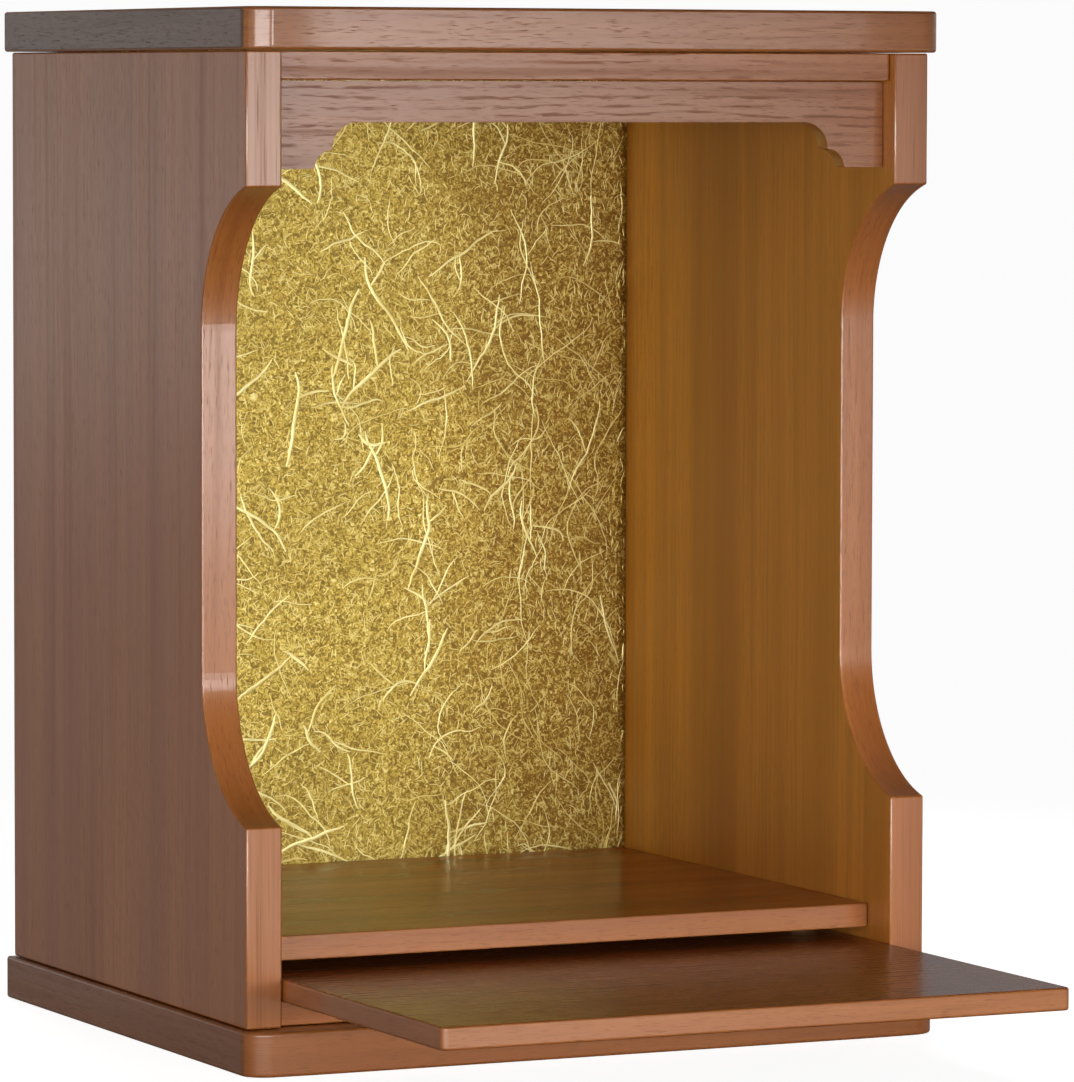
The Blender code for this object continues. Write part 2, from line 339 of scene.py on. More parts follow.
def lacquered_wood(name, tones, lacquer, figure=0.62, bump=0.20, coat=0.65, shine=0.35, grain=drawn_grain,
                   change=None):
    """Stained veneer under clear lacquer, in four tones: light, middle, dark and pore."""
    material = bpy.data.materials.new(name)
    material.use_nodes = True
    tree = material.node_tree
    shader = tree.nodes["Principled BSDF"]
    light, middle, dark, pore = tones
    veneer = add(tree, "ShaderNodeGroup", node_tree=veneer_figure(), sockets={
        "Grain": grain(tree), "Light": light, "Middle": middle, "Dark": dark, "Pore": pore,
        "Figure": figure, "Lacquer": lacquer - 0.05, "Coat": coat})
    pits = add(tree, "ShaderNodeBump", sockets={
        "Height": veneer.outputs["Height"], "Strength": bump, "Distance": 0.00008})
    tone = veneer.outputs["Colour"]
    if change:
        tone = change(tree, tone)
    tree.links.new(tone, shader.inputs["Base Color"])
    tree.links.new(veneer.outputs["Roughness"], shader.inputs["Roughness"])
    tree.links.new(veneer.outputs["Coat"], shader.inputs["Coat Weight"])
    tree.links.new(pits.outputs["Normal"], shader.inputs["Normal"])
    shader.inputs["Specular IOR Level"].default_value = shine
    shader.inputs["Coat Roughness"].default_value = bpy.context.scene.altar_finish.coat
    return material


def scaled(colours, factor=1.0):
    return [tuple(part * factor for part in one) for one in colours]


def shared_wood(name, tone=1.0, **look):
    """A satin veneer that several pieces have, made once. Its tone is lighter over 1 and darker under it."""
    finish = bpy.context.scene.altar_finish
    tones = scaled((finish.wood_light, finish.wood_middle, finish.wood_dark, finish.pore), tone)
    return bpy.data.materials.get(name) or lacquered_wood(name, tones, finish.satin, **look)


def carcase_wood():
    return shared_wood("satin_veneer")


def toned_wood(tone):
    """The same veneer made lighter or darker, for single boards and bands; on the lower rail the lighter copy
    is painted light.
    """
    return shared_wood("satin_veneer_%d" % round(tone * 100), tone)


def figured_wood(tone):
    """The same veneer with livelier figure, as on the valance and the header rail."""
    return shared_wood("figured_veneer_%d" % round(tone * 100), tone, figure=1.0, coat=0.46)


def inner_wood():
    """The panels' inner faces: the same veneer, softer in figure, without the clear coat, and painted paler
    and more golden as the gold paper's bounce light.
    """
    name = "inner_satin_veneer"
    finish = bpy.context.scene.altar_finish
    tones = [
        tuple(part * tint * depth for part, tint in zip(tone, PAINTED_BOUNCE_TINT))
        for tone, depth in ((finish.wood_light, 1.0), (finish.wood_middle, 0.94), (finish.wood_dark, 1.0),
                            (finish.wood_dark, 1.0))
    ]
    return bpy.data.materials.get(name) or lacquered_wood(
        name, tones, 0.38, figure=0.70, coat=0.0, shine=0.45, change=paint_gold_bounce_towards_back)


def floor_wood():
    finish = bpy.context.scene.altar_finish
    tones = scaled((finish.wood_light, finish.tray_top, finish.wood_dark, finish.pore), 1.15)
    return lacquered_wood(
        "glossy_floor_veneer", tones, finish.gloss, figure=0.35, bump=0.12, coat=0.0, shine=0.16)


def tray_wood():
    finish = bpy.context.scene.altar_finish
    tones = scaled((finish.tray_top, finish.tray_top, finish.pore, finish.pore))
    return lacquered_wood(
        "glossy_tray_veneer", tones, finish.tray_gloss, figure=0.4, bump=0.10, coat=0.0, shine=0.62)


def plain_wood():
    """Unlacquered wood of the hidden pieces."""
    name = "plain_wood"
    ground = Vector(bpy.context.scene.altar_finish.plain_wood)
    tones = [tuple(ground * depth) for depth in (1.12, 1.0, 0.7, 0.5)]
    return bpy.data.materials.get(name) or lacquered_wood(
        name, tones, 0.62, figure=0.5, bump=0.35, coat=0.0, grain=upright_grain)


def gold_paper():
    """Gold paper: a mottled metallic ground with dark and bright flecks, and a painted reflection of the
    brown right wall that makes it browner towards its right side.
    """
    finish = bpy.context.scene.altar_finish
    material = bpy.data.materials.new("gold_fibre_paper")
    material.use_nodes = True
    tree = material.node_tree
    shader = tree.nodes["Principled BSDF"]
    place = add(tree, "ShaderNodeTexCoord").outputs["Object"]
    clouds = add(tree, "ShaderNodeTexNoise", sockets={"Vector": place, "Scale": 14.0, "Detail": 3.0})
    flecks = add(tree, "ShaderNodeTexNoise", sockets={
        "Vector": place, "Scale": 540.0, "Detail": 1.5, "Roughness": 0.6, "Distortion": 1.4}).outputs["Fac"]
    shade, gold, pale, brown = scaled((finish.gold_shade, finish.gold, finish.fibre, finish.gold_reflected_wall))
    ground = blend_colours(tree, between(tree, flecks, 0.36, 0.60), shade, gold)
    bright = blend_colours(tree, between(tree, flecks, 0.56, 0.74, 0.0, 0.7), ground, pale)
    cloudy = blend_colours(tree, between(tree, clouds.outputs["Fac"], 0.35, 0.75, 0.0, 0.22), bright, shade)
    # Painted reflection: towards the right side the gold turns browner, standing for the brown right wall
    # reflected in it
    side = add(tree, "ShaderNodeSeparateXYZ", sockets={"Vector": place}).outputs["X"]
    wall_reflection_share = maths(
        tree, "MULTIPLY", between(tree, side, 0.01, 0.10), between(tree, flecks, 0.44, 0.60, 0.65, 0.12))
    browner = blend_colours(tree, wall_reflection_share, cloudy, brown)
    tree.links.new(browner, shader.inputs["Base Color"])
    grit = add(tree, "ShaderNodeTexNoise", sockets={"Vector": place, "Scale": 700.0, "Detail": 0.0})
    bump = add(tree, "ShaderNodeBump", sockets={
        "Height": grit.outputs["Fac"], "Strength": 0.4, "Distance": 0.0003})
    tree.links.new(bump.outputs["Normal"], shader.inputs["Normal"])
    shader.inputs["Metallic"].default_value = 0.35
    shader.inputs["Roughness"].default_value = 0.38
    shader.inputs["Specular IOR Level"].default_value = 0.2
    return material


def fibre_gold(name, pale, deep):
    """Gold on a raised fibre, its tint drifting between two tones."""
    material = bpy.data.materials.new(name)
    material.use_nodes = True
    tree = material.node_tree
    shader = tree.nodes["Principled BSDF"]
    place = add(tree, "ShaderNodeTexCoord").outputs["Object"]
    tint = add(tree, "ShaderNodeTexNoise", sockets={"Vector": place, "Scale": 60.0, "Detail": 2.0})
    tone = blend_colours(tree, between(tree, tint.outputs["Fac"], 0.40, 0.75), pale, deep)
    tree.links.new(tone, shader.inputs["Base Color"])
    shader.inputs["Metallic"].default_value = 0.45
    shader.inputs["Roughness"].default_value = 0.42
    return material


# Modelling helpers

def box_mesh(low, high):
    """A cube made to fill a box."""
    shape = bmesh.new()
    size = high - low
    matrix = Matrix.Translation((low + high) / 2) @ Matrix.Diagonal((*size, 1.0))
    bmesh.ops.create_cube(shape, size=1.0, matrix=matrix)
    return shape


def line_to(shape, start, point):
    made = shape.verts.new(point)
    shape.edges.new((start, made))
    return made


def arc_to(shape, start, centre, axis, angle, steps):
    """Sweeps a vertex round a centre, and returns the last vertex of the arc."""
    swept = bmesh.ops.spin(
        shape, geom=[start], cent=centre, axis=axis, dvec=(0, 0, 0), angle=angle, steps=steps,
        use_merge=False, use_normal_flip=False, use_duplicate=False)
    return next(v for v in swept["geom_last"] if isinstance(v, bmesh.types.BMVert))


def fill_and_thicken(shape, first, last, thickness):
    """Closes an outline, fills it and extrudes it."""
    shape.edges.new((last, first))
    filled = bmesh.ops.contextual_create(shape, geom=list(shape.edges))
    swept = bmesh.ops.extrude_face_region(shape, geom=filled["faces"])
    moved = [v for v in swept["geom"] if isinstance(v, bmesh.types.BMVert)]
    bmesh.ops.translate(shape, verts=moved, vec=thickness)
    bmesh.ops.recalc_face_normals(shape, faces=shape.faces)


def round_edges(shape, edges, radius, segments):
    bmesh.ops.bevel(shape, geom=edges, offset=radius, offset_type="OFFSET", segments=segments, profile=0.5,
                    affect="EDGES", clamp_overlap=True, material=-1)


def ease(shape, width, segments=3):
    """Rounds every sharp edge by the same small amount."""
    sharp = [edge for edge in shape.edges if edge.is_manifold and edge.calc_face_angle() > SHARP]
    round_edges(shape, sharp, width, segments)


def cut_across(shape, axis, places):
    """Cuts the shape square to an axis, so that rounded faces stay true beside their eased edges."""
    for place in places:
        bmesh.ops.bisect_plane(shape, geom=shape.verts[:] + shape.edges[:] + shape.faces[:],
                               plane_co=axis * place, plane_no=axis)


def upright_front_edges(shape, front):
    return [
        edge for edge in shape.edges
        if abs(edge.verts[0].co.z - edge.verts[1].co.z) > 0.001
        and all(abs(v.co.y - front) < TOUCH for v in edge.verts)
    ]


def draw_grain(shape, rule, shift):
    """Stores where each corner lies along, across and into the grain."""
    layer = shape.loops.layers.float_vector.new("grain")
    for face in shape.faces:
        face.smooth = max(abs(part) for part in face.normal) < FLAT_NORMAL
        for loop in face.loops:
            along, across, into = rule(face.normal, loop.vert.co)
            loop[layer] = Vector((
                along + shift * STEP_ALONG,
                across + shift * STEP_ACROSS,
                into * INTO_SCALE + shift * STEP_INTO))


def finish_piece(shape, name, node, body, material):
    mesh = bpy.data.meshes.new(name)
    shape.to_mesh(mesh)
    shape.free()
    mesh.materials.append(material)
    piece = bpy.data.objects.new(name, mesh)
    bpy.context.scene.collection.objects.link(piece)
    if node:
        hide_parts(node)
    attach(piece, body)
    return piece


def face_with(piece, material, chosen):
    """Gives the faces whose normals are chosen a material of their own."""
    piece.data.materials.append(material)
    for face in piece.data.polygons:
        if chosen(face.normal):
            face.material_index = 1


def long_grain(normal, place):
    """Grain from side to side, wrapping over the front edge; end faces run front to back."""
    if abs(normal.x) > MAINLY:
        return place.y, place.z, place.x
    if abs(normal.y) > MAINLY:
        return place.x, place.z, place.y
    return place.x, place.y, place.z


def rounded_band_grain(low, high, radius):
    """Grain along the band that goes round a board's front corners, and side to side on its faces."""
    def rule(normal, place):
        if abs(normal.z) > MAINLY:
            return place.x, place.y, place.z
        if place.y > low.y + radius:
            side = -1.0 if place.x < 0 else 1.0
            return side * (high.x + place.y - low.y), place.z, place.x
        if abs(place.x) < high.x - radius:
            return place.x, place.z, place.y
        side = -1.0 if place.x < 0 else 1.0
        angle = math.atan2(abs(place.x) - (high.x - radius), low.y + radius - place.y)
        return side * (high.x - radius + angle * radius), place.z, place.y
    return rule


# The pieces

def relieve_corners(shape, low, high, corner):
    """Lets the front fall back a little before it meets each rounded corner."""
    settings = bpy.context.scene.altar_shape
    start = high.x - settings.corner_relief
    run = settings.corner_relief - corner
    for index in range(RELIEF_CUTS):
        x = start + run * index / RELIEF_CUTS
        cut_across(shape, X_AXIS, (x, -x))
    for vert in shape.verts:
        past = abs(vert.co.x) - start
        hold = 1.0 - (vert.co.y - low.y) / corner
        if past > 0.0 and hold > 0.0:
            vert.co.y += settings.corner_fall * (past / run) ** 2 * hold


def build_board(node, shift, material, side_tone):
    settings = bpy.context.scene.altar_shape
    low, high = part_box(node)
    shape = box_mesh(low, high)
    round_edges(shape, upright_front_edges(shape, low.y), settings.board_corner, 20)
    relieve_corners(shape, low, high, settings.board_corner)
    margin = settings.board_ease + CUT_MARGIN
    cut_across(shape, Z_AXIS, (low.z + margin, high.z - margin))
    ease(shape, settings.board_ease, 4)
    draw_grain(shape, rounded_band_grain(low, high, settings.board_corner), shift)
    piece = finish_piece(shape, node + "_veneered", node, CABINET, material)
    face_with(piece, toned_wood(side_tone), lambda normal: abs(normal.x) > 0.95)


def build_side_panel(node, shift, material):
    """A panel drawn from the side, its scallop swept by two arcs, then thickened."""
    settings = bpy.context.scene.altar_shape
    low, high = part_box(node)
    depth, end = settings.scallop_depth, settings.scallop_end
    radius = (end ** 2 + depth ** 2) / (2 * depth)
    sweep = math.atan2(end, radius - depth)
    centre_y = low.y + depth - radius
    upper_z = high.z - settings.upper_stile - end
    lower_z = low.z + settings.lower_stile + end
    shape = bmesh.new()
    first = shape.verts.new((low.x, low.y, low.z))
    last = line_to(shape, first, (low.x, high.y, low.z))
    last = line_to(shape, last, (low.x, high.y, high.z))
    last = line_to(shape, last, (low.x, low.y, high.z))
    last = line_to(shape, last, (low.x, low.y, high.z - settings.upper_stile))
    last = arc_to(shape, last, (low.x, centre_y, upper_z), (-1, 0, 0), sweep, 28)
    last = line_to(shape, last, (low.x, low.y + depth, lower_z))
    last = arc_to(shape, last, (low.x, centre_y, lower_z), (-1, 0, 0), sweep, 28)
    fill_and_thicken(shape, first, last, (high.x - low.x, 0, 0))
    margin = settings.panel_ease + CUT_MARGIN
    cut_across(shape, X_AXIS, (low.x + margin, high.x - margin))
    ease(shape, settings.panel_ease)

    def grain(normal, place):
        if abs(normal.x) > MAINLY:
            return place.z, place.y, place.x
        along = place.z
        if place.y < low.y + depth - 0.0005:
            if place.z > upper_z:
                along = upper_z + radius * math.atan2(place.z - upper_z, place.y - centre_y)
            elif place.z < lower_z:
                along = lower_z + radius * math.atan2(place.z - lower_z, place.y - centre_y)
        return along, place.x, place.y * 0.2

    draw_grain(shape, grain, shift)
    piece = finish_piece(shape, node + "_veneered", node, CABINET, material)
    inward = -1.0 if low.x > 0 else 1.0
    face_with(piece, inner_wood(), lambda normal: normal.x * inward > 0.9)


def build_rail(node, shift, material):
    low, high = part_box(node)
    shape = box_mesh(low, high)
    ease(shape, bpy.context.scene.altar_shape.trim_ease)
    draw_grain(shape, long_grain, shift)
    return finish_piece(shape, node + "_veneered", node, CABINET, material)


def build_valance(shift):
    """The valance drawn from the front: a lobe, two swept curves and the arch, then its mirror."""
    settings = bpy.context.scene.altar_shape
    low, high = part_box("valance")
    radius, fillet = settings.lobe_radius, settings.lobe_fillet
    flat_end = high.x - settings.lobe_width
    step = flat_end - radius
    turn = math.asin(fillet / radius)
    front = low.y
    shape = bmesh.new()
    first = shape.verts.new((0.0, front, high.z))
    last = line_to(shape, first, (high.x, front, high.z))
    last = line_to(shape, last, (high.x, front, low.z))
    last = line_to(shape, last, (flat_end + fillet, front, low.z))
    last = arc_to(shape, last, (flat_end + fillet, front, low.z + fillet), (0, 1, 0), math.pi / 2, 6)
    last = line_to(shape, last, (step + radius * math.cos(turn), front, low.z + radius * math.sin(turn)))
    last = arc_to(shape, last, (step, front, low.z), (0, -1, 0), math.pi / 2 - turn, 10)
    middle = (step - settings.arch_radius, front, low.z + radius)
    last = line_to(shape, last, (step, front, low.z + radius + WELD / 2))
    last = arc_to(shape, last, middle, (0, -1, 0), math.pi / 2, 14)
    last = line_to(shape, last, (0.0, front, last.co.z))
    fill_and_thicken(shape, first, last, (0, high.y - low.y, 0))
    bmesh.ops.remove_doubles(shape, verts=shape.verts, dist=WELD)
    bmesh.ops.mirror(shape, geom=shape.verts[:] + shape.edges[:] + shape.faces[:], axis="X", merge_dist=TOUCH)
    seam = [f for f in shape.faces if all(abs(v.co.x) < TOUCH for v in f.verts)]
    bmesh.ops.delete(shape, geom=seam, context="FACES")
    bmesh.ops.remove_doubles(shape, verts=shape.verts, dist=WELD)
    bmesh.ops.recalc_face_normals(shape, faces=shape.faces)
    ease(shape, settings.trim_ease)

    def grain(normal, place):
        if abs(normal.y) > MAINLY:
            return place.x, place.z, place.y
        return place.x + place.z, place.y, place.z

    draw_grain(shape, grain, shift)
    finish_piece(shape, "valance_veneered", "valance", CABINET, figured_wood(0.86))


def build_tray(shift):
    settings = bpy.context.scene.altar_shape
    low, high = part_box("tray")
    shape = box_mesh(low, high)
    round_edges(shape, upright_front_edges(shape, low.y), settings.tray_corner, 8)
    margin = settings.tray_ease + CUT_MARGIN
    cut_across(shape, Z_AXIS, (low.z + margin, high.z - margin))
    ease(shape, settings.tray_ease, 4)
    draw_grain(shape, rounded_band_grain(low, high, settings.tray_corner), shift)
    piece = finish_piece(shape, "tray_veneered", "tray", TRAY, tray_wood())
    face_with(piece, toned_wood(1.03), lambda normal: abs(normal.z) < 0.8)


# The gold fibre paper

def fibre_path(rng, start, heading, reach, bend, pieces):
    """A strand's wandering path on the sheet, as flat x and z places."""
    points = [start]
    turn = rng.uniform(-bend, bend)
    step = reach / pieces
    for _ in range(pieces):
        heading += turn / pieces + rng.gauss(0.0, bend * 0.10)
        if rng.random() < 0.12:
            turn = -turn
        x, z = points[-1]
        points.append((x + step * math.cos(heading), z + step * math.sin(heading)))
    return points


def lay_strand(shape, path, width, rise, face_y, inside, tone=BRIGHT):
    """A flat round-backed strand along a path, tapering to both ends, just proud of the paper."""
    path = [(x, z) for x, z in path if inside[0] < x < inside[1] and inside[2] < z < inside[3]]
    count = len(path)
    if count < 3:
        return
    rings = []
    for index, (x, z) in enumerate(path):
        before = path[max(index - 1, 0)]
        after = path[min(index + 1, count - 1)]
        run = Vector((after[0] - before[0], 0.0, after[1] - before[1])).normalized()
        side = Vector((-run.z, 0.0, run.x))
        part = index / (count - 1)
        taper = max(math.sin(math.pi * (0.04 + 0.92 * part)), 0.12) ** 0.5
        half = width * taper / 2
        middle = Vector((x, face_y, z))
        crown = Vector((0.0, -rise * taper, 0.0))
        rings.append([
            shape.verts.new(middle - side * half),
            shape.verts.new(middle - side * half * BACK_WIDTH + crown * BACK_RISE),
            shape.verts.new(middle + side * half * BACK_WIDTH + crown * BACK_RISE),
            shape.verts.new(middle + side * half),
        ])
    for one, two in zip(rings, rings[1:]):
        for k in range(3):
            face = shape.faces.new((one[k], one[k + 1], two[k + 1], two[k]))
            face.smooth = True
            face.material_index = tone


def build_fibres():
    """Every raised fibre: bold branching ones, faint long ones and many fine hairs."""
    settings = bpy.context.scene.altar_fibres
    low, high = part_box("gold_back_board")
    edge = 0.0006
    inside = (low.x + edge, high.x - edge, low.z + edge, high.z - edge)
    face_y = low.y - 0.00002
    rng = random.Random(41)
    shape = bmesh.new()

    def scatter(crowding=1.0):
        """A place on the sheet; crowding under 1 brings more of them to the right."""
        return low.x + (high.x - low.x) * rng.random() ** crowding, rng.uniform(low.z, high.z)

    def upright(x):
        """How far the fibres stand up: not at all in the middle, fully near the right side."""
        return min(max((x - 0.02) / 0.10, 0.0), 1.0)

    def lean(x):
        return math.pi / 2 + rng.gauss(0.0, 1.25 - 0.95 * upright(x))

    for _ in range(settings.bold):
        x, z = scatter()
        heading = lean(x)
        if rng.random() < 0.5 * upright(x):
            continue
        path = fibre_path(rng, (x, z), heading, rng.uniform(0.014, 0.050), bend=1.3, pieces=14)
        width = settings.bold_width * rng.uniform(0.65, 1.15) * (1.0 - 0.40 * upright(x))
        lay_strand(shape, path, width, settings.rise, face_y, inside)
        if rng.random() < 0.65:
            fork = rng.randint(4, 10)
            turned = heading + rng.choice((-1, 1)) * rng.uniform(0.5, 1.3)
            path = fibre_path(rng, path[fork], turned, rng.uniform(0.010, 0.028), bend=1.0, pieces=9)
            lay_strand(shape, path, width * 0.75, settings.rise * 0.8, face_y, inside)
    for _ in range(settings.faint):
        x, z = scatter(0.6)
        heading = lean(x)
        reach = rng.uniform(0.010, 0.034) * (1.0 + 0.6 * upright(x))
        path = fibre_path(rng, (x, z), heading, reach, bend=1.6, pieces=12)
        tone = DULL if rng.random() < 0.8 * upright(x) else BRIGHT
        width = settings.faint_width * rng.uniform(0.7, 1.2) * (1.0 - 0.25 * upright(x))
        lay_strand(shape, path, width, settings.rise * 0.6, face_y, inside, tone)
    for _ in range(settings.fine):
        x, z = scatter()
        path = fibre_path(rng, (x, z), lean(x), rng.uniform(0.0015, 0.0060), bend=1.1, pieces=3)
        width = settings.fine_width * rng.uniform(0.7, 1.3)
        lay_strand(shape, path, width, settings.rise * 0.5, face_y, inside, DULL)
    finish = bpy.context.scene.altar_finish
    pale, ground = Vector(finish.fibre), Vector(finish.gold)
    bright = fibre_gold("raised_gold_fibre", tuple(pale), tuple(pale.lerp(ground, 0.6)))
    dull = fibre_gold("fine_gold_fibre", tuple(pale.lerp(ground, 0.45)), tuple(pale.lerp(ground, 0.9)))
    piece = finish_piece(shape, "gold_fibres", None, CABINET, bright)
    piece.data.materials.append(dull)


def build_gold_sheet():
    """The papered board, its face very slightly uneven."""
    low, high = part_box("gold_back_board")
    shape = box_mesh(low, high)
    long_edges = [edge for edge in shape.edges if edge.calc_length() > 0.1]
    bmesh.ops.subdivide_edges(shape, edges=long_edges, cuts=60, use_grid_fill=True)
    waves, lift = 55.0, 0.00008
    for vert in shape.verts:
        if vert.co.y < (low.y + high.y) / 2:
            vert.co.y += lift * noise.noise(Vector((vert.co.x * waves, 3.1, vert.co.z * waves)))
    for face in shape.faces:
        face.smooth = abs(face.normal.y) > 0.5
    finish_piece(shape, "gold_paper_sheet", "gold_back_board", CABINET, gold_paper())


# The studio

def build_camera():
    studio = bpy.context.scene.altar_studio
    data = bpy.data.cameras.new("camera")
    data.lens = studio.lens
    data.sensor_width = 36.0
    data.clip_start = 0.05
    data.clip_end = 60.0
    camera = bpy.data.objects.new("camera", data)
    bpy.context.scene.collection.objects.link(camera)
    camera.matrix_world = (
        Matrix.Translation(studio.place)
        @ Matrix.Rotation(studio.heading, 4, "Z")
        @ Matrix.Rotation(math.pi / 2 - studio.tilt, 4, "X")
        @ Matrix.Rotation(studio.roll, 4, "Z"))
    bpy.context.scene.camera = camera


def light_panel(name, start, end, distance, foot, top, power):
    """An upright soft panel near the floor, spanning a range of headings seen from the cabinet."""
    heading = math.radians(start + end) / 2
    data = bpy.data.lights.new(name, "AREA")
    data.shape = "RECTANGLE"
    data.size = 2 * distance * math.tan(math.radians(end - start) / 2)
    data.size_y = top - foot
    data.energy = power
    light = bpy.data.objects.new(name, data)
    bpy.context.scene.collection.objects.link(light)
    light.location = (distance * math.sin(heading), -distance * math.cos(heading), (foot + top) / 2)
    light.rotation_euler = (math.pi / 2, 0.0, heading)
    light.visible_camera = False
    return light


def build_floor():
    """White paper under the cabinet, which the lacquer sees dull, with a painted glow, seen only in
    reflections, where it lies flat ahead.
    """
    shape = bmesh.new()
    bmesh.ops.create_grid(shape, x_segments=1, y_segments=1, size=30.0)
    mesh = bpy.data.meshes.new("floor")
    shape.to_mesh(mesh)
    shape.free()
    floor = bpy.data.objects.new("floor", mesh)
    bpy.context.scene.collection.objects.link(floor)
    floor.location.z = -0.0002
    material = bpy.data.materials.new("floor_paper")
    material.use_nodes = True
    tree = material.node_tree
    tree.nodes.remove(tree.nodes["Principled BSDF"])
    path = add(tree, "ShaderNodeLightPath")
    place = add(tree, "ShaderNodeTexCoord").outputs["Object"]
    parts = add(tree, "ShaderNodeSeparateXYZ", sockets={"Vector": place})

    # What the camera sees: shaded paper near the cabinet, which fades into plain white
    distance = add(tree, "ShaderNodeVectorMath", operation="LENGTH", sockets={0: place}).outputs["Value"]
    far = between(tree, distance, 0.30, 1.00)
    matt = add(tree, "ShaderNodeBsdfDiffuse", sockets={"Color": (0.60, 0.60, 0.60)})
    bright = add(tree, "ShaderNodeEmission", sockets={"Color": (1.0, 1.0, 1.0), "Strength": 0.90})
    near = add(tree, "ShaderNodeAddShader", sockets={0: matt.outputs[0], 1: bright.outputs[0]})
    white = add(tree, "ShaderNodeEmission", sockets={"Color": (1.0, 1.0, 1.0), "Strength": 0.97})
    shown = add(tree, "ShaderNodeMixShader", sockets={0: far, 1: near.outputs[0], 2: white.outputs[0]})

    # What lights and reflects in the cabinet: dull paper, with a painted glow that stands for light off the
    # paper, seen only in reflections at low angles, strongest in front of the cabinet's left side and rising
    # again far behind it
    behind = between(tree, parts.outputs["Y"], 0.5, 8.0, 0.27, 0.78)
    ahead = maths(tree, "MULTIPLY", between(tree, parts.outputs["Y"], -0.50, -0.22, 3.2, 0.0),
                  between(tree, parts.outputs["X"], -0.10, 0.25, 1.35, 0.5))
    facing = add(tree, "ShaderNodeLayerWeight", sockets={"Blend": 0.5}).outputs["Facing"]
    grazing = maths(tree, "MULTIPLY", maths(tree, "POWER", facing, 4.0), path.outputs["Is Glossy Ray"])
    glow = maths(tree, "MULTIPLY", maths(tree, "MAXIMUM", behind, ahead), grazing)
    dull = add(tree, "ShaderNodeBsdfDiffuse", sockets={"Color": (0.25, 0.25, 0.25)})
    sheen = add(tree, "ShaderNodeEmission", sockets={"Color": (1.0, 1.0, 1.0), "Strength": glow})
    lit = add(tree, "ShaderNodeAddShader", sockets={0: dull.outputs[0], 1: sheen.outputs[0]})
    mix = add(tree, "ShaderNodeMixShader", sockets={
        0: path.outputs["Is Camera Ray"], 1: lit.outputs[0], 2: shown.outputs[0]})
    tree.links.new(mix.outputs[0], tree.nodes["Material Output"].inputs["Surface"])
    mesh.materials.append(material)


def build_world():
    """White behind the cabinet, and a soft room that is brighter near the horizon than overhead."""
    world = bpy.data.worlds.new("studio")
    world.use_nodes = True
    tree = world.node_tree
    background = tree.nodes["Background"]
    place = add(tree, "ShaderNodeTexCoord").outputs["Generated"]
    parts = add(tree, "ShaderNodeSeparateXYZ", sockets={"Vector": place})
    horizon = between(tree, parts.outputs["Y"], -0.2, 0.3, 0.15, 0.55)
    up = between(tree, parts.outputs["Z"], 0.03, 0.35)
    level = add(tree, "ShaderNodeMix", data_type="FLOAT")
    for index, value in ((0, up), (2, horizon), (3, 0.08)):
        join_or_set(tree, level.inputs[index], value)
    grey = level.outputs[0]
    room = add(tree, "ShaderNodeCombineColor", sockets={"Red": grey, "Green": grey, "Blue": grey})
    seen = add(tree, "ShaderNodeLightPath").outputs["Is Camera Ray"]
    shown = blend_colours(tree, seen, room.outputs[0], (0.97, 0.97, 0.97))
    tree.links.new(shown, background.inputs["Color"])
    bpy.context.scene.world = world


def build_lights():
    """Five low panels for the sheen, and four lights, unseen in reflections, for the wood itself."""
    studio = bpy.context.scene.altar_studio
    far, foot, top = studio.light_distance, studio.light_foot, studio.light_top
    for name, start, end, setting in SHEEN_PANELS:
        sheen = light_panel(name, start, end, far, foot, top, getattr(studio, setting))
        sheen.visible_diffuse = False
    front = light_panel("front_light", -25.0, 37.0, studio.fill_distance, foot=0.02, top=0.17,
                        power=studio.fill_power)
    front.data.spread = math.radians(50.0)
    side = light_panel("side_light", -80.0, -54.0, far, foot, top, studio.side_power)
    wall = light_panel("wall_light", -50.0, -28.0, far, foot, top, studio.wall_power)
    rear = light_panel("rear_light", 145.0, 178.0, distance=2.2, foot=1.4, top=2.4, power=studio.rear_power)
    for plain in (front, side, wall, rear):
        plain.visible_glossy = False


# Operators, one for each piece or group of like pieces

class CabinetOperator:
    """What the operators share: each has a build method of its own."""
    bl_options = {"REGISTER", "UNDO"}

    def execute(self, context):
        self.build()
        return {"FINISHED"}


class ALTAR_OT_boards(CabinetOperator, Operator):
    """Make the base board and the top board"""
    bl_idname = "altar.boards"
    bl_label = "Base and top boards"

    def build(self):
        build_board("base_board", 1, toned_wood(0.90), 0.72)
        build_board("top_board", 2, carcase_wood(), 0.30)


class ALTAR_OT_side_panels(CabinetOperator, Operator):
    """Make the two scalloped side panels"""
    bl_idname = "altar.side_panels"
    bl_label = "Side panels"

    def build(self):
        build_side_panel("left_side_panel", 3, carcase_wood())
        build_side_panel("right_side_panel", 4, toned_wood(1.15))


class ALTAR_OT_head(CabinetOperator, Operator):
    """Make the header rail and the valance"""
    bl_idname = "altar.head"
    bl_label = "Header rail and valance"

    def build(self):
        build_rail("header_rail", 5, figured_wood(1.02))
        build_valance(6)


class ALTAR_OT_floor_board(CabinetOperator, Operator):
    """Make the floor board of the altar space"""
    bl_idname = "altar.floor_board"
    bl_label = "Floor board"

    def build(self):
        piece = build_rail("floor_board", 7, floor_wood())
        face_with(piece, carcase_wood(), lambda normal: abs(normal.z) < 0.8)


class ALTAR_OT_tray(CabinetOperator, Operator):
    """Make the sliding tray and the rail under it"""
    bl_idname = "altar.tray"
    bl_label = "Tray and lower rail"

    def build(self):
        # Painted light: the lower rail is made much lighter, standing for the light and sheen it gets in the
        # shade under the tray
        build_rail("lower_rail", 8, toned_wood(1.35))
        build_tray(9)


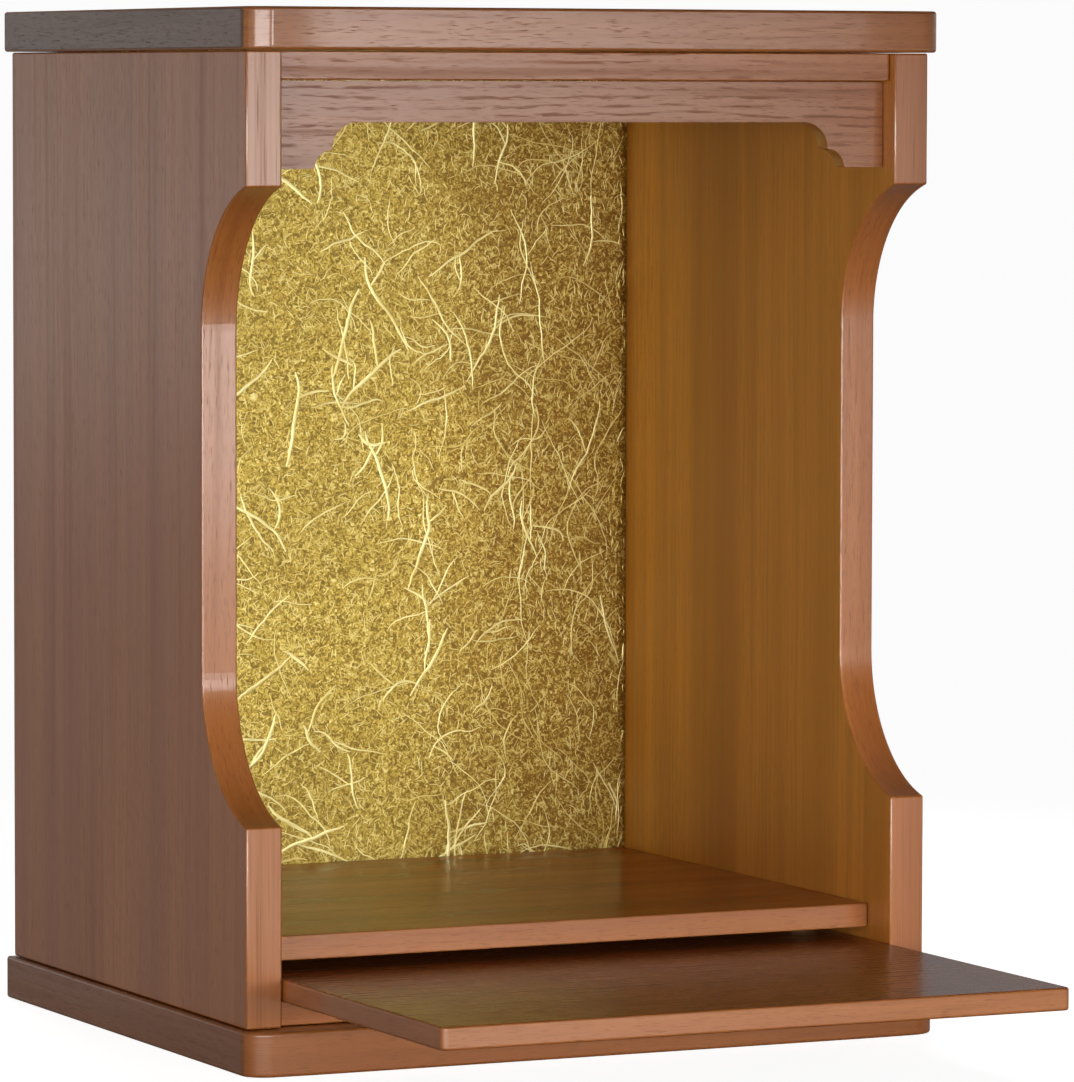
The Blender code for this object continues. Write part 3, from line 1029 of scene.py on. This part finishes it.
class ALTAR_OT_hidden_pieces(CabinetOperator, Operator):
    """Give the back panel, runners and kickers their plain wood"""
    bl_idname = "altar.hidden_pieces"
    bl_label = "Back panel, runners and kickers"

    def build(self):
        for node in ("back_panel", "left_tray_runner", "right_tray_runner", "left_tray_kicker",
                     "right_tray_kicker"):
            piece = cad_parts[node]
            piece.material_slots[0].material = plain_wood()


class ALTAR_OT_gold_paper(CabinetOperator, Operator):
    """Make the gold paper on the back and its raised fibres"""
    bl_idname = "altar.gold_paper"
    bl_label = "Gold fibre paper"

    def build(self):
        build_gold_sheet()
        build_fibres()


class ALTAR_OT_stage(CabinetOperator, Operator):
    """Make the floor, the lights and the camera"""
    bl_idname = "altar.stage"
    bl_label = "Studio"

    def build(self):
        build_camera()
        build_floor()
        build_world()
        build_lights()
        bpy.context.scene.view_settings.view_transform = "Standard"


class ALTAR_PT_panel(Panel):
    """Lists the cabinet's operators and settings"""
    bl_idname = "ALTAR_PT_panel"
    bl_label = "Altar Cabinet"
    bl_space_type = "VIEW_3D"
    bl_region_type = "UI"
    bl_category = "Altar Cabinet"

    def draw(self, context):
        for operator in OPERATORS:
            self.layout.operator(operator.bl_idname)
        for settings in (context.scene.altar_shape, context.scene.altar_finish, context.scene.altar_fibres,
                         context.scene.altar_studio):
            column = self.layout.column(align=True)
            for name in settings.__annotations__:
                column.prop(settings, name)


SETTINGS = (
    ("altar_shape", CabinetShape),
    ("altar_finish", CabinetFinish),
    ("altar_fibres", FibrePaper),
    ("altar_studio", Studio),
)
OPERATORS = (
    ALTAR_OT_stage,
    ALTAR_OT_boards,
    ALTAR_OT_side_panels,
    ALTAR_OT_head,
    ALTAR_OT_floor_board,
    ALTAR_OT_tray,
    ALTAR_OT_hidden_pieces,
    ALTAR_OT_gold_paper,
)


def register():
    for name, group in SETTINGS:
        bpy.utils.register_class(group)
        setattr(bpy.types.Scene, name, PointerProperty(type=group))
    for operator in OPERATORS:
        bpy.utils.register_class(operator)
    bpy.utils.register_class(ALTAR_PT_panel)


def unregister():
    bpy.utils.unregister_class(ALTAR_PT_panel)
    for operator in reversed(OPERATORS):
        bpy.utils.unregister_class(operator)
    for name, group in reversed(SETTINGS):
        delattr(bpy.types.Scene, name)
        bpy.utils.unregister_class(group)


def main():
    register()
    bpy.ops.altar.stage()
    bpy.ops.altar.boards()
    bpy.ops.altar.side_panels()
    bpy.ops.altar.head()
    bpy.ops.altar.floor_board()
    bpy.ops.altar.tray()
    bpy.ops.altar.hidden_pieces()
    bpy.ops.altar.gold_paper()


if __name__ == "__main__":
    main()
